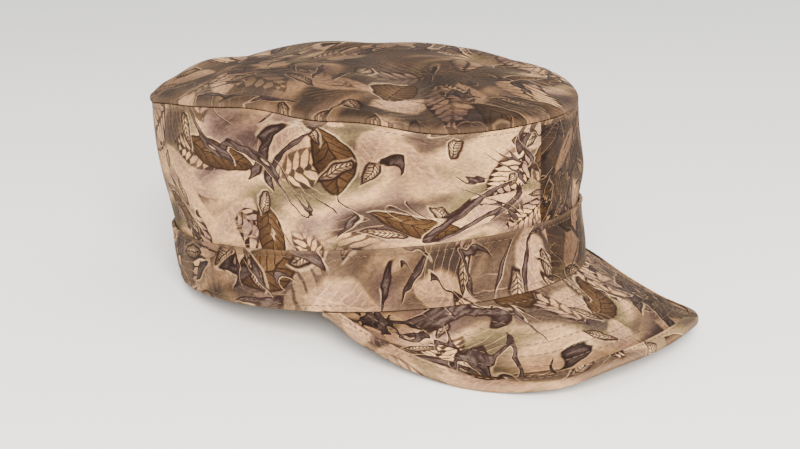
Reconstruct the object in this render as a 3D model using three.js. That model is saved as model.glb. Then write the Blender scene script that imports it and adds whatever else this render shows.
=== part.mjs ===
// Patrol cap of printed cotton: a domed top panel, two side walls with a band round them, and a stiff peak
// whose edge is bound with a strip of the same cloth. It rests as it would on a table, on the back of its band
// and on the edge of its peak. Millimetres, +Z up, front of the cap towards -Y, wearer's left towards +X.
import * as THREE from 'three';

// Band and crown: outside sizes, measured square to the band's lower edge
const bandLength = 202;
const bandWidth = 174;
const bandHeight = 24;
const crownHeight = 78.5;
const lowerEdgeDip = 2;

// Top panel: rise of its middle over the mean top seam, its lift at the back, and how far the seam swings.
// The powers say how square its shoulder is, how soon it takes up the seam's swing and how late folds fade.
const topRise = 13;
const topBackLift = 11;
const seamSwing = 9.6;
const shoulderPower = 3.6;
const seamPower = 1.5;
const foldPower = 4;

// Peak: how far round the band it is sewn on to each side, how far it reaches, how it droops and is dished
const peakSewnAngle = 66;
const peakReach = 50;
const peakDrop = 20.5;
const peakHollow = 1;

// Cloth: thicknesses, the strip round the peak, and the air between neighbours
const wallCloth = 1.4;
const topCloth = 1.4;
const bandCloth = 1.6;
const peakBoard = 2;
const bindingCloth = 1;
const bindingWidth = 5;
const topSeamRidge = 0.9;
const peakTuck = 3;
const wallHemRise = 1;
const deepestDent = 3;
const airGap = 0.3;
const clothRoughness = 0.9;

// Search for the lean at rest: the steepest lean tried, in degrees, and how often the range is halved
const steepestLean = 45;
const leanHalvings = 40;

// Fineness of the facets
const halfTurnSteps = 30;
const bandRows = 5;
const wallRows = 6;
const topRings = 10;
const peakSteps = 44;
const peakRows = 6;
const bindingSteps = 8;

// Oval sections as shares of the band's length and width; level 0 is the lower edge, 1 the band's top edge
// and 2 the top seam, and back is how far the oval is set back, as a share of the band's length
const sections = [
  { level: 0.0, length: 1.0, width: 1.0, back: 0.0 },
  { level: 0.5, length: 0.993, width: 1.003, back: 0.004 },
  { level: 1.0, length: 0.982, width: 1.004, back: 0.008 },
  { level: 1.3, length: 0.993, width: 1.018, back: 0.009 },
  { level: 1.65, length: 1.006, width: 1.033, back: 0.011 },
  { level: 2.0, length: 1.015, width: 1.041, back: 0.012 },
];

// Outline of the peak from its middle to its end, in even steps of turn round the band: reach and drop of its
// edge as shares of the peak's own
const peakOutline = [
  { reach: 0.98, drop: 0.97 },
  { reach: 1.0, drop: 0.95 },
  { reach: 0.94, drop: 1.1 },
  { reach: 0.67, drop: 1.11 },
  { reach: 0.41, drop: 0.83 },
  { reach: 0.21, drop: 0.4 },
  { reach: 0.05, drop: 0.0 },
];

// Swing of the top seam as waves round the cap: rise at the front as a share of the seam's swing
const seamSwings = [
  { waves: 1, rise: -1.0 },
  { waves: 2, rise: -0.32 },
  { waves: 4, rise: 0.13 },
];

// Small waves of the top seam: turn and spread in degrees round from the front, rise as a share of the swing
const seamWaves = [
  { turn: -153, spread: 10, rise: -0.25 },
  { turn: -130, spread: 14, rise: -0.15 },
  { turn: -75, spread: 14, rise: 0.38 },
  { turn: -50, spread: 12, rise: 0.42 },
  { turn: 56, spread: 18, rise: 0.16 },
  { turn: 76, spread: 10, rise: -0.14 },
  { turn: 112, spread: 18, rise: 0.15 },
];

// Soft dents and bulges of the side: depth as a share of the deepest dent, inwards where it is positive
const wallDents = [
  { turn: -166, level: 1.5, spread: 12, tall: 0.5, depth: 0.5 },
  { turn: -141, level: 1.35, spread: 15, tall: 0.5, depth: -0.75 },
  { turn: -118, level: 1.72, spread: 15, tall: 0.3, depth: -0.4 },
  { turn: -88, level: 1.35, spread: 11, tall: 0.35, depth: 0.55 },
  { turn: -58, level: 1.62, spread: 13, tall: 0.4, depth: -0.45 },
  { turn: -28, level: 1.5, spread: 9, tall: 0.45, depth: 0.4 },
  { turn: 14, level: 1.6, spread: 10, tall: 0.4, depth: 0.35 },
  { turn: 39, level: 1.28, spread: 18, tall: 0.36, depth: -1.25 },
  { turn: 68, level: 1.45, spread: 12, tall: 0.4, depth: 0.6 },
  { turn: 104, level: 1.7, spread: 13, tall: 0.35, depth: -0.45 },
  { turn: 146, level: 1.5, spread: 15, tall: 0.45, depth: 0.6 },
];

// Folds of the top panel: centre and size as shares of the half width and half length, turned from the length
// by an angle, rise as a share of the panel's own rise
const topFolds = [
  { side: -0.5, back: 0.66, across: 0.2, along: 0.24, turn: -35, rise: 0.34 },
  { side: -0.03, back: 0.7, across: 0.16, along: 0.24, turn: 0, rise: -0.38 },
  { side: 0.3, back: 0.46, across: 0.2, along: 0.34, turn: -20, rise: 0.12 },
  { side: 0.62, back: 0.27, across: 0.2, along: 0.24, turn: 0, rise: -0.09 },
  { side: 0.7, back: -0.32, across: 0.18, along: 0.24, turn: 30, rise: -0.5 },
  { side: 0.1, back: -0.2, across: 0.2, along: 0.46, turn: 60, rise: 0.16 },
  { side: -0.46, back: -0.34, across: 0.13, along: 0.36, turn: -50, rise: 0.14 },
];

const { clamp, degToRad, euclideanModulo, lerp, radToDeg, smoothstep } = THREE.MathUtils;

// A smooth hill of height 1 whose sides fall away over the given spread
function hill(distance, spread) {
  return Math.exp(-((distance / spread) ** 2));
}

// Degrees from one bearing round the cap to another, by the shorter way
function turnApart(bearing, turn) {
  return euclideanModulo(bearing - turn + 180, 360) - 180;
}

// One column of the section table at any level
function sectionValue(level, column) {
  const above = Math.max(1, sections.findIndex((row) => row.level >= level));
  const low = sections[above - 1];
  const high = sections[above];
  return lerp(low[column], high[column], (level - low.level) / (high.level - low.level));
}

function lowerEdgeHeight(angle) {
  return -lowerEdgeDip * (1 + Math.cos(angle)) / 2;
}

// The top seam swings down at the front and up at the back and sides, with small waves
function topSeamHeight(angle) {
  const bearing = radToDeg(angle);
  let rise = 0;
  for (const swing of seamSwings) rise += swing.rise * Math.cos(swing.waves * angle);
  for (const wave of seamWaves) rise += wave.rise * hill(turnApart(bearing, wave.turn), wave.spread);
  return crownHeight + seamSwing * rise;
}

function heightAt(angle, level) {
  if (level <= 1) return lerp(lowerEdgeHeight(angle), bandHeight, level);
  return lerp(bandHeight, topSeamHeight(angle), level - 1);
}

function dentAt(angle, level) {
  const bearing = radToDeg(angle);
  let depth = 0;
  for (const dent of wallDents) {
    const around = hill(turnApart(bearing, dent.turn), dent.spread);
    depth += deepestDent * dent.depth * around * hill(level - dent.level, dent.tall);
  }
  return depth;
}

// A point of the cap's side: angle round from the front, level up the side, inset towards the inside
function sidePoint(angle, level, inset) {
  const halfWidth = bandWidth * sectionValue(level, 'width') / 2;
  const halfLength = bandLength * sectionValue(level, 'length') / 2;
  const outward = new THREE.Vector2(Math.sin(angle) / halfWidth, -Math.cos(angle) / halfLength).normalize();
  const depth = inset + dentAt(angle, level);
  return new THREE.Vector3(
    halfWidth * Math.sin(angle) - outward.x * depth,
    -halfLength * Math.cos(angle) + bandLength * sectionValue(level, 'back') - outward.y * depth,
    heightAt(angle, level),
  );
}

// Moves every corner of a geometry to the place worked out from its old one
function reshape(geometry, place) {
  const corners = geometry.attributes.position;
  const corner = new THREE.Vector3();
  for (let i = 0; i < corners.count; i += 1) {
    const placed = place(corner.fromBufferAttribute(corners, i));
    corners.setXYZ(i, placed.x, placed.y, placed.z);
  }
  geometry.computeVertexNormals();
  return geometry;
}

// A layer of cloth bent from a unit block: along it, across it, and through it from its inner to its outer face
function clothLayer(alongSteps, acrossSteps, place) {
  const block = new THREE.BoxGeometry(1, 1, 1, alongSteps, acrossSteps, 1);
  return reshape(block, (corner) => place(corner.x + 0.5, corner.y + 0.5, corner.z + 0.5));
}

// Bearing along one half of the cap, from its back seam or front seam to the other; side is -1 for the right
function halfAngle(side, along) {
  const seamAngle = airGap / bandWidth;
  const fromFront = lerp(seamAngle, Math.PI - seamAngle, side < 0 ? 1 - along : along);
  return side * fromFront;
}

function bandHalf(side) {
  return clothLayer(halfTurnSteps, bandRows, (along, across, through) => (
    sidePoint(halfAngle(side, along), across, bandCloth * (1 - through))
  ));
}

// How far the wall's outer face stands inside the band's face or the top seam's ridge
function wallInset(level) {
  const underBand = bandCloth + airGap;
  return lerp(underBand, topSeamRidge, smoothstep(level, 1, 2));
}

// The wall runs down inside the band to just above its lower edge, and up to just below the top panel
function wallHalf(side) {
  const rows = bandRows + wallRows;
  return clothLayer(halfTurnSteps, rows, (along, across, through) => {
    const row = across * rows;
    const level = row <= bandRows ? row / bandRows : 1 + (row - bandRows) / wallRows;
    const point = sidePoint(halfAngle(side, along), level, wallInset(level) + wallCloth * (1 - through));
    point.z += lerp(wallHemRise, 0, Math.min(row, 1)) - (level === 2 ? airGap : 0);
    return point;
  });
}

// Rise of the folds of the top panel at a place on it, as a share of the panel's own rise
function foldRise(x, y) {
  let rise = 0;
  for (const fold of topFolds) {
    const side = 2 * x / bandWidth - fold.side;
    const back = 2 * y / bandLength - fold.back;
    const turn = degToRad(fold.turn);
    const across = side * Math.cos(turn) + back * Math.sin(turn);
    const along = back * Math.cos(turn) - side * Math.sin(turn);
    rise += fold.rise * hill(across, fold.across) * hill(along, fold.along);
  }
  return rise;
}

// Height of the top panel's underside; reach runs from 0 in the middle to 1 at the seam
function topHeight(angle, reach, x, y) {
  const seam = lerp(crownHeight, topSeamHeight(angle), reach ** seamPower);
  const backLift = -topBackLift * reach * (1 - reach ** 2) * Math.cos(angle);
  const dome = 1 - reach ** shoulderPower + foldRise(x, y) * (1 - reach ** foldPower);
  return seam + backLift + topRise * dome;
}

// The top panel is a dished disc: its rings crowd towards the seam, where it turns down at the shoulder
function topPanel() {
  const rings = Array.from({ length: topRings + 1 }, (_, ring) => ring / topRings);
  const ringReach = rings.map((share) => Math.sin(Math.PI / 2 * share));
  ringReach[topRings] = 1;
  const under = ringReach.map((reach) => new THREE.Vector2(reach, 0));
  const over = ringReach.map((reach) => new THREE.Vector2(reach, 1)).reverse();
  const disc = new THREE.LatheGeometry([...under, ...over], 2 * halfTurnSteps);
  const middle = new THREE.Vector2(0, bandLength * sectionValue(2, 'back'));
  return reshape(disc, (corner) => {
    const reach = Math.min(1, Math.hypot(corner.x, corner.z));
    const angle = Math.atan2(corner.x, corner.z);
    const seam = sidePoint(angle, 2, 0);
    const x = lerp(middle.x, seam.x, reach);
    const y = lerp(middle.y, seam.y, reach);
    return new THREE.Vector3(x, y, topHeight(angle, reach, x, y) + topCloth * corner.y);
  });
}

// Reach and drop of the peak's edge all the way round, from its right end by the middle to its left end
const halfOutline = peakOutline.map(({ reach, drop }) => new THREE.Vector2(reach, drop));
const wholeOutline = new THREE.SplineCurve([...halfOutline.slice(1).reverse(), ...halfOutline]);

// Top face of the peak: along runs from -1 at its right end to 1 at its left, reach from 0 at the band to 1
// at the edge
function peakPoint(along, reach) {
  const angle = along * degToRad(peakSewnAngle);
  const edge = wholeOutline.getPoint((along + 1) / 2);
  const point = sidePoint(angle, 0, -peakReach * edge.x * reach);
  const hollow = peakHollow * edge.x * 4 * reach * (1 - reach);
  point.z = lowerEdgeHeight(angle) - airGap - peakDrop * edge.y * reach - hollow;
  return point;
}

// The peak's board and its cloth; its inner margin is tucked flat under the band's lower edge
function peakBody() {
  const rows = peakRows + 1;
  return clothLayer(peakSteps, rows, (along, across, through) => {
    const row = across * rows;
    const bearing = 2 * along - 1;
    const point = peakPoint(bearing, Math.max(0, 1 - row / peakRows));
    if (row > peakRows) {
      const tucked = sidePoint(bearing * degToRad(peakSewnAngle), 0, peakTuck);
      point.x = tucked.x;
      point.y = tucked.y;
    }
    point.z -= peakBoard * (1 - through);
    return point;
  });
}

// The strip is folded round the peak's edge: a quarter of it lies under the peak, half goes round the edge and
// a quarter lies over it. Where the peak runs out at its ends, these legs stop short of the band.
function peakBinding() {
  const halfBoard = peakBoard / 2;
  return clothLayer(peakSteps, bindingSteps, (along, across, through) => {
    const bearing = 2 * along - 1;
    const edge = peakPoint(bearing, 1);
    const sewn = peakPoint(bearing, 0);
    const span = Math.hypot(edge.x - sewn.x, edge.y - sewn.y);
    const leg = Math.min(bindingWidth, span - 2 * airGap);
    const lift = halfBoard + airGap + bindingCloth * through;
    const round = clamp(4 * across - 2, -1, 1);
    const turn = round * Math.PI / 2;
    const inward = leg * (Math.abs(4 * across - 2) - Math.abs(round));
    const outward = (lift - halfBoard) * Math.cos(turn) / span;
    const foot = peakPoint(bearing, 1 - inward / span);
    foot.x += (edge.x - sewn.x) * outward;
    foot.y += (edge.y - sewn.y) * outward;
    foot.z += lift * Math.sin(turn) - halfBoard;
    return foot;
  });
}

// How far the cap leans back at rest: until the back of the band and the edge of the peak are equally low.
// The lean is found by halving, far finer than it can be seen.
function restLean(backPieces, frontPieces) {
  const lowest = (pieces, lean) => {
    let low = Infinity;
    for (const piece of pieces) {
      const corners = piece.geometry.attributes.position;
      for (let i = 0; i < corners.count; i += 1) {
        low = Math.min(low, corners.getZ(i) * Math.cos(lean) - corners.getY(i) * Math.sin(lean));
      }
    }
    return low;
  };
  let small = 0;
  let large = degToRad(steepestLean);
  for (let halving = 0; halving < leanHalvings; halving += 1) {
    const lean = (small + large) / 2;
    if (lowest(frontPieces, lean) < lowest(backPieces, lean)) small = lean;
    else large = lean;
  }
  return small;
}

function piece(name, geometry, color) {
  const material = new THREE.MeshStandardMaterial({ color, roughness: clothRoughness, metalness: 0 });
  const mesh = new THREE.Mesh(geometry, material);
  mesh.name = name;
  return mesh;
}

const sides = [{ name: 'right', side: -1 }, { name: 'left', side: 1 }];
const crownTop = piece('crown_top', topPanel(), 0x9c8c72);
const walls = sides.map(({ name, side }) => piece(`wall_${name}`, wallHalf(side), 0xb9a086));
const bands = sides.map(({ name, side }) => piece(`band_${name}`, bandHalf(side), 0xa08a75));
const peak = piece('peak', peakBody(), 0xa9957c);
const binding = piece('peak_binding', peakBinding(), 0xc9ae90);

const group = new THREE.Group();
group.add(crownTop, ...walls, ...bands, peak, binding);
group.rotation.x = -restLean(bands, [binding]);
group.updateMatrixWorld(true);

// The origin is under the middle of the whole cap, on the surface that it rests on
const extent = new THREE.Box3().setFromObject(group, true);
const middle = extent.getCenter(new THREE.Vector3());
group.position.set(-middle.x, -middle.y, -extent.min.z);

export default group;
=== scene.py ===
"""Patrol cap of printed cotton, resting on a pale studio floor.

The cap lies on the back of its band and on the edge of its peak. Every cloth piece stands for a plain solid
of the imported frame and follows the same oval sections, seam waves, dents and folds, with what cloth adds to
them: rolled edges, puckers along the seams, quilted rows on the peak, and single stitches.
Sizes of the cap are in millimetres in its own upright frame, and a piece's mesh is in metres where the cap
rests: +Z up, the front of the cap towards -Y and the wearer's left towards +X.
"""

import logging
import math
from dataclasses import dataclass
from enum import Enum
from functools import lru_cache
from typing import Callable, Optional, Sequence

import bmesh
import bpy
from mathutils import Matrix, Vector, noise

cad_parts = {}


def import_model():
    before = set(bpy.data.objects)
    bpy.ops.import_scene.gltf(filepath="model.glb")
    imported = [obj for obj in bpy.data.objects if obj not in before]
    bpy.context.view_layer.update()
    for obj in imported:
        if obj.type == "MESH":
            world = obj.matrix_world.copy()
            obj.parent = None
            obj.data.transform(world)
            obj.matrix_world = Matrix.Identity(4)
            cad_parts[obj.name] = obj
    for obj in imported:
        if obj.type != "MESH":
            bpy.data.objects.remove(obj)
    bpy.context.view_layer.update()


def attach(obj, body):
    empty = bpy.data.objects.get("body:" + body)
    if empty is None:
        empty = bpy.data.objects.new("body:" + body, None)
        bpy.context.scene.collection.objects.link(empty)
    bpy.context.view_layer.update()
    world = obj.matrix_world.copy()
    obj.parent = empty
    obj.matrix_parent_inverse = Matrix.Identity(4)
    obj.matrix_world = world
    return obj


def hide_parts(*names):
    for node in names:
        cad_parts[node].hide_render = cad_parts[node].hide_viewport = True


LOG = logging.getLogger("patrol_cap")
MM = 0.001
BODY = "root"
CLOTH_UV = "cloth"
FADE = "fade"

# A dent shallower than this share of the deepest one is left out at a bearing
DENT_LEFT_OUT = 1e-4

# Cloth is pulled in along an upright seam, by a depth that falls away over a reach
SEAM_PULL = 0.5
SEAM_PULL_REACH = 1.6

# A point of a surface by two shares, along it and across it
Place = Callable[[float, float], Vector]


class Side(Enum):
    """The wearer's side of a cut half, and the sign of its bearing round the cap."""

    RIGHT = -1
    LEFT = 1


@dataclass(frozen=True)
class Section:
    """Oval section of the side: level 0 is the lower edge, 1 the band's top edge and 2 the top seam."""

    level: float
    length: float
    width: float
    back: float


@dataclass(frozen=True)
class SeamWave:
    """Small wave of the top seam: degrees round from the front, and rise as a share of the seam's swing."""

    turn: float
    spread: float
    rise: float


@dataclass(frozen=True)
class Dent:
    """Soft dent of the side, or a bulge where its depth is negative."""

    turn: float
    level: float
    spread: float
    tall: float
    depth: float


@dataclass(frozen=True)
class TopFold:
    """Fold of the top panel: place and size as shares of the half width and length, turned by an angle."""

    side: float
    back: float
    across: float
    along: float
    turn: float
    rise: float


SECTIONS = (
    Section(0.0, 1.0, 1.0, 0.0),
    Section(0.5, 0.993, 1.003, 0.004),
    Section(1.0, 0.982, 1.004, 0.008),
    Section(1.3, 0.993, 1.018, 0.009),
    Section(1.65, 1.006, 1.033, 0.011),
    Section(2.0, 1.015, 1.041, 0.012),
)

# Swing of the top seam: waves round the cap, and their rise at the front as a share of the swing
SEAM_SWINGS = ((1, -1.0), (2, -0.32), (4, 0.13))

SEAM_WAVES = (
    SeamWave(-153, 10, -0.25),
    SeamWave(-130, 14, -0.15),
    SeamWave(-75, 14, 0.38),
    SeamWave(-50, 12, 0.42),
    SeamWave(56, 18, 0.16),
    SeamWave(76, 10, -0.14),
    SeamWave(112, 18, 0.15),
)

WALL_DENTS = (
    Dent(-166, 1.5, 12, 0.5, 0.5),
    Dent(-141, 1.35, 15, 0.5, -0.75),
    Dent(-118, 1.72, 15, 0.3, -0.4),
    Dent(-88, 1.35, 11, 0.35, 0.55),
    Dent(-58, 1.62, 13, 0.4, -0.45),
    Dent(-28, 1.5, 9, 0.45, 0.4),
    Dent(14, 1.6, 10, 0.4, 0.35),
    Dent(39, 1.28, 18, 0.36, -1.25),
    Dent(68, 1.45, 12, 0.4, 0.6),
    Dent(104, 1.7, 13, 0.35, -0.45),
    Dent(146, 1.5, 15, 0.45, 0.6),
)

TOP_FOLDS = (
    TopFold(-0.5, 0.66, 0.2, 0.24, -35, 0.34),
    TopFold(-0.03, 0.7, 0.16, 0.24, 0, -0.38),
    TopFold(0.3, 0.46, 0.2, 0.34, -20, 0.12),
    TopFold(0.62, 0.27, 0.2, 0.24, 0, -0.09),
    TopFold(0.7, -0.32, 0.18, 0.24, 30, -0.5),
    TopFold(0.1, -0.2, 0.2, 0.46, 60, 0.16),
    TopFold(-0.46, -0.34, 0.13, 0.36, -50, 0.14),
)


@dataclass(frozen=True)
class Scatter:
    """Printed motifs scattered over the cloth: their sizes in millimetres, their turn and their share."""

    spacing: float
    length: float
    width: float
    turn: float
    swing: float
    share: float
    seed: float
    strength: float


@dataclass(frozen=True)
class MotifPlace:
    """Where a point of the cloth lies in its nearest motif, as shader values, with lengths in millimetres."""

    along: bpy.types.NodeSocket
    across: bpy.types.NodeSocket
    side: bpy.types.Node
    depth: bpy.types.Node
    printed: bpy.types.Node


@dataclass(frozen=True)
class LeafKind(Scatter):
    """One kind of printed leaf: a dark rim round a fill with a lighter heart, or pale and out of focus."""

    rim: str
    fill: str
    heart: str
    outline: float
    blur: float


@dataclass(frozen=True)
class FernKind(Scatter):
    """One kind of printed fern: pale leaflets along a stem, with dark between them."""

    pitch: float
    slant: float


@dataclass(frozen=True)
class TwigFamily:
    """One family of printed twigs: size of the field that they follow, turn, width of a line and seed."""

    size: tuple[float, float]
    turn: float
    width: float
    seed: float


TWIG_FAMILIES = (
    TwigFamily((74, 19), 38, 0.04, 5),
    TwigFamily((34, 9), -52, 0.045, 8),
)

# Outline of the peak from its middle to its end: reach and drop of its edge as shares of the peak's own
PEAK_OUTLINE = ((0.98, 0.97), (1.0, 0.95), (0.94, 1.1), (0.67, 1.11), (0.41, 0.83), (0.21, 0.4), (0.015, 0.0))


def lerp(low: float, high: float, share: float) -> float:
    """Returns the value a share of the way from low to high."""
    return low + (high - low) * share


def smooth_step(value: float, low: float, high: float) -> float:
    """Returns 0 below low and 1 above high, with a smooth rise between."""
    share = min(1.0, max(0.0, (value - low) / (high - low)))
    return share * share * (3 - 2 * share)


def hill(distance: float, spread: float) -> float:
    """Returns a smooth hill of height 1 that falls away over the spread."""
    return math.exp(-((distance / spread) ** 2))


def turn_apart(bearing: float, turn: float) -> float:
    """Returns the degrees from one bearing round the cap to another, by the shorter way."""
    return (bearing - turn + 180) % 360 - 180


def soft_wave(along: float, length: float, seed: float) -> float:
    """Returns an uneven wave from -1 to 1.

    Args:
        along: distance along the wave.
        length: rough distance from crest to crest.
        seed: picks one of many waves.

    Returns:
        The height of the wave there.
    """
    return max(-1.0, min(1.0, 1.6 * noise.noise(Vector((2 * along / length, seed, 0.37)))))


def curve_through(points: Sequence[tuple[float, float]], share: float) -> tuple[float, float]:
    """Follows a smooth curve through evenly spaced points.

    Args:
        points: the points, in order.
        share: how far along the curve, from 0 to 1.

    Returns:
        The two values of the curve there.
    """
    place = share * (len(points) - 1)
    step = min(int(place), len(points) - 2)
    rest = place - step
    last = len(points) - 1
    before, low, high, after = (points[max(0, min(last, step + i))] for i in (-1, 0, 1, 2))
    values = []
    for a, b, c, d in zip(before, low, high, after):
        start = (c - a) / 2
        end = (d - b) / 2
        cubic = (2 * b - 2 * c + start + end) * rest**3
        square = (-3 * b + 3 * c - 2 * start - end) * rest**2
        values.append(cubic + square + start * rest + b)
    return values[0], values[1]


@dataclass(frozen=True)
class CapForm:
    """Shape of the whole cap in millimetres: the sizes, and the surfaces that its pieces lie on."""

    band_length: float = 202.0
    band_width: float = 174.0
    band_height: float = 24.0
    crown_height: float = 78.5
    lower_edge_dip: float = 2.0
    top_rise: float = 13.0
    top_back_lift: float = 11.0
    seam_swing: float = 9.6
    shoulder_power: float = 3.6
    seam_power: float = 1.5
    fold_power: float = 4.0
    deepest_dent: float = 3.0
    peak_sewn_angle: float = 66.0
    peak_reach: float = 50.0
    peak_drop: float = 20.5
    peak_hollow: float = 1.0
    air_gap: float = 0.3
    rest_lean: float = 7.5592
    rest_shift: tuple[float, float, float] = (-0.1138, 18.8086, 13.2866)

    @property
    def mean_radius(self) -> float:
        """Returns the radius that turns a bearing into a length round the cap."""
        return (self.band_length + self.band_width) / 4

    @property
    @lru_cache(maxsize=1)
    def rest_place(self) -> Matrix:
        """Returns the matrix from the upright cap in millimetres to where the cap rests, in metres."""
        lean = Matrix.Rotation(-math.radians(self.rest_lean), 4, "X")
        return Matrix.Diagonal((MM, MM, MM, 1)) @ Matrix.Translation(self.rest_shift) @ lean

    def rest(self, point: Vector) -> Vector:
        """Returns a point of the upright cap where the cap rests, in metres."""
        return self.rest_place @ point

    @lru_cache(maxsize=4096)
    def section(self, level: float) -> tuple[float, float, float]:
        """Returns length, width and set-back of the oval at any level, in millimetres."""
        levels = [row.level for row in SECTIONS]
        above = next((i for i, value in enumerate(levels) if value >= level and i > 0), len(levels) - 1)
        low = SECTIONS[above - 1]
        high = SECTIONS[above]
        share = (level - low.level) / (high.level - low.level)
        return (
            self.band_length * lerp(low.length, high.length, share),
            self.band_width * lerp(low.width, high.width, share),
            self.band_length * lerp(low.back, high.back, share),
        )

    def lower_edge(self, angle: float) -> float:
        """Returns the height of the band's lower edge."""
        return -self.lower_edge_dip * (1 + math.cos(angle)) / 2

    @lru_cache(maxsize=4096)
    def top_seam(self, angle: float) -> float:
        """Returns the height of the top seam, which swings down at the front."""
        bearing = math.degrees(angle)
        rise = sum(share * math.cos(waves * angle) for waves, share in SEAM_SWINGS)
        rise += sum(wave.rise * hill(turn_apart(bearing, wave.turn), wave.spread) for wave in SEAM_WAVES)
        return self.crown_height + self.seam_swing * rise

    def height(self, angle: float, level: float) -> float:
        """Returns the height of the side at a level."""
        if level <= 1:
            return lerp(self.lower_edge(angle), self.band_height, level)
        return lerp(self.band_height, self.top_seam(angle), level - 1)

    @lru_cache(maxsize=4096)
    def dents_round(self, angle: float) -> tuple[tuple[Dent, float], ...]:
        """Returns the dents that reach a bearing, each with its greatest depth there."""
        bearing = math.degrees(angle)
        depths = [(row, row.depth * hill(turn_apart(bearing, row.turn), row.spread)) for row in WALL_DENTS]
        return tuple((row, self.deepest_dent * share) for row, share in depths if abs(share) > DENT_LEFT_OUT)

    def dent(self, angle: float, level: float) -> float:
        """Returns how deep the side is dented at a place."""
        return sum(depth * hill(level - row.level, row.tall) for row, depth in self.dents_round(angle))

    def side_point(self, angle: float, level: float, inset: float) -> Vector:
        """Finds a point of the cap's side.

        Args:
            angle: bearing round from the front, in radians.
            level: level up the side, from 0 to 2.
            inset: distance towards the inside, square to the oval.

        Returns:
            The point in the upright cap.
        """
        length, width, back = self.section(level)
        outward = Vector((2 * math.sin(angle) / width, -2 * math.cos(angle) / length)).normalized()
        depth = inset + self.dent(angle, level)
        return Vector((
            width / 2 * math.sin(angle) - outward.x * depth,
            -length / 2 * math.cos(angle) + back - outward.y * depth,
            self.height(angle, level),
        ))

    def fold_rise(self, x: float, y: float) -> float:
        """Returns the rise of the top panel's folds as a share of the panel's own rise."""
        rise = 0.0
        for fold in TOP_FOLDS:
            side = 2 * x / self.band_width - fold.side
            back = 2 * y / self.band_length - fold.back
            turn = math.radians(fold.turn)
            across = side * math.cos(turn) + back * math.sin(turn)
            along = back * math.cos(turn) - side * math.sin(turn)
            rise += fold.rise * hill(across, fold.across) * hill(along, fold.along)
        return rise

    def top_point(self, angle: float, reach: float) -> Vector:
        """Returns a point of the top panel's underside; reach runs from 0 in the middle to 1 at the seam."""
        middle = self.section(2)[2]
        rim = self.side_point(angle, 2, 0)
        x = rim.x * reach
        y = lerp(middle, rim.y, reach)
        seam = lerp(self.crown_height, self.top_seam(angle), reach**self.seam_power)
        back_lift = -self.top_back_lift * reach * (1 - reach**2) * math.cos(angle)
        dome = 1 - reach**self.shoulder_power + self.fold_rise(x, y) * (1 - reach**self.fold_power)
        return Vector((x, y, seam + back_lift + self.top_rise * dome))

    @lru_cache(maxsize=4096)
    def peak_edge(self, along: float) -> tuple[float, float]:
        """Returns reach and drop of the peak's edge, with along from -1 at its right end to 1 at its left."""
        whole = (*reversed(PEAK_OUTLINE[1:]), *PEAK_OUTLINE)
        return curve_through(whole, (along + 1) / 2)

    def peak_point(self, along: float, reach: float) -> Vector:
        """Returns a point of the peak's top face; reach runs from 0 at the band to 1 at the edge."""
        angle = along * math.radians(self.peak_sewn_angle)
        edge_reach, edge_drop = self.peak_edge(along)
        point = self.side_point(angle, 0, -self.peak_reach * edge_reach * reach)
        hollow = self.peak_hollow * edge_reach * 4 * reach * (1 - reach)
        point.z = self.lower_edge(angle) - self.air_gap - self.peak_drop * edge_drop * reach - hollow
        return point


FORM = CapForm()


def linear_colour(hex_colour: str) -> tuple[float, float, float, float]:
    """Returns an sRGB hex colour as linear red, green, blue and alpha."""
    channels = []
    for start in (0, 2, 4):
        value = int(hex_colour[start:start + 2], 16) / 255
        channels.append(value / 12.92 if value <= 0.04045 else ((value + 0.055) / 1.055) ** 2.4)
    return (*channels, 1.0)


MATH = "ShaderNodeMath"
RANGE = "ShaderNodeMapRange"
MIX = "ShaderNodeMix"
SMOOTH = {"interpolation_type": "SMOOTHSTEP"}
COLOUR = {"data_type": "RGBA"}
MULTIPLIED = {"data_type": "RGBA", "blend_type": "MULTIPLY"}


def blank_material(name: str) -> bpy.types.Material:
    """Returns a new material with an empty node tree."""
    material = bpy.data.materials.new(name)
    material.use_nodes = True
    material.node_tree.nodes.clear()
    return material


def add_node(tree: bpy.types.NodeTree, kind: str, settings: dict, inputs: dict) -> bpy.types.Node:
    """Adds a node with its settings and links.

    Args:
        tree: the node tree to add to.
        kind: the node's type name.
        settings: values of the node's own properties.
        inputs: for each input, by name or place: a node or a socket to link from, an sRGB hex colour or a
            value.

    Returns:
        The new node.
    """
    node = tree.nodes.new(kind)
    for name, value in settings.items():
        setattr(node, name, value)
    for name, value in inputs.items():
        if isinstance(value, bpy.types.Node):
            value = next(socket for socket in value.outputs if socket.enabled)
        if isinstance(value, bpy.types.NodeSocket):
            tree.links.new(value, node.inputs[name])
        else:
            node.inputs[name].default_value = linear_colour(value) if isinstance(value, str) else value
    return node


def ramp_colours(node: bpy.types.Node, stops: Sequence[tuple[float, str]], interpolation: str) -> None:
    """Sets the stops of a colour ramp from places and sRGB hex colours."""
    ramp = node.color_ramp
    ramp.interpolation = interpolation
    while len(ramp.elements) < len(stops):
        ramp.elements.new(0.5)
    for element, (place, colour) in zip(ramp.elements, stops):
        element.position = place
        element.color = linear_colour(colour)


@dataclass(frozen=True)
class PrintColours:
    """Inks of the camouflage, from the pale ground to the darkest twigs, as sRGB hex."""

    pale: str = "CCA272"
    sand: str = "8F7256"
    pink: str = "866859"
    olive: str = "6C5F3A"
    grey_brown: str = "43342F"
    shadow: str = "332722"
    leaf: str = "442F1B"
    leaf_heart: str = "5A4128"
    leaf_rim: str = "24160E"
    stroke: str = "241612"
    twig: str = "2D201D"
    bark: str = "584841"
    highlight: str = "E8C394"
    veil: str = "8C7F7A"


INKS = PrintColours()

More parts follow.
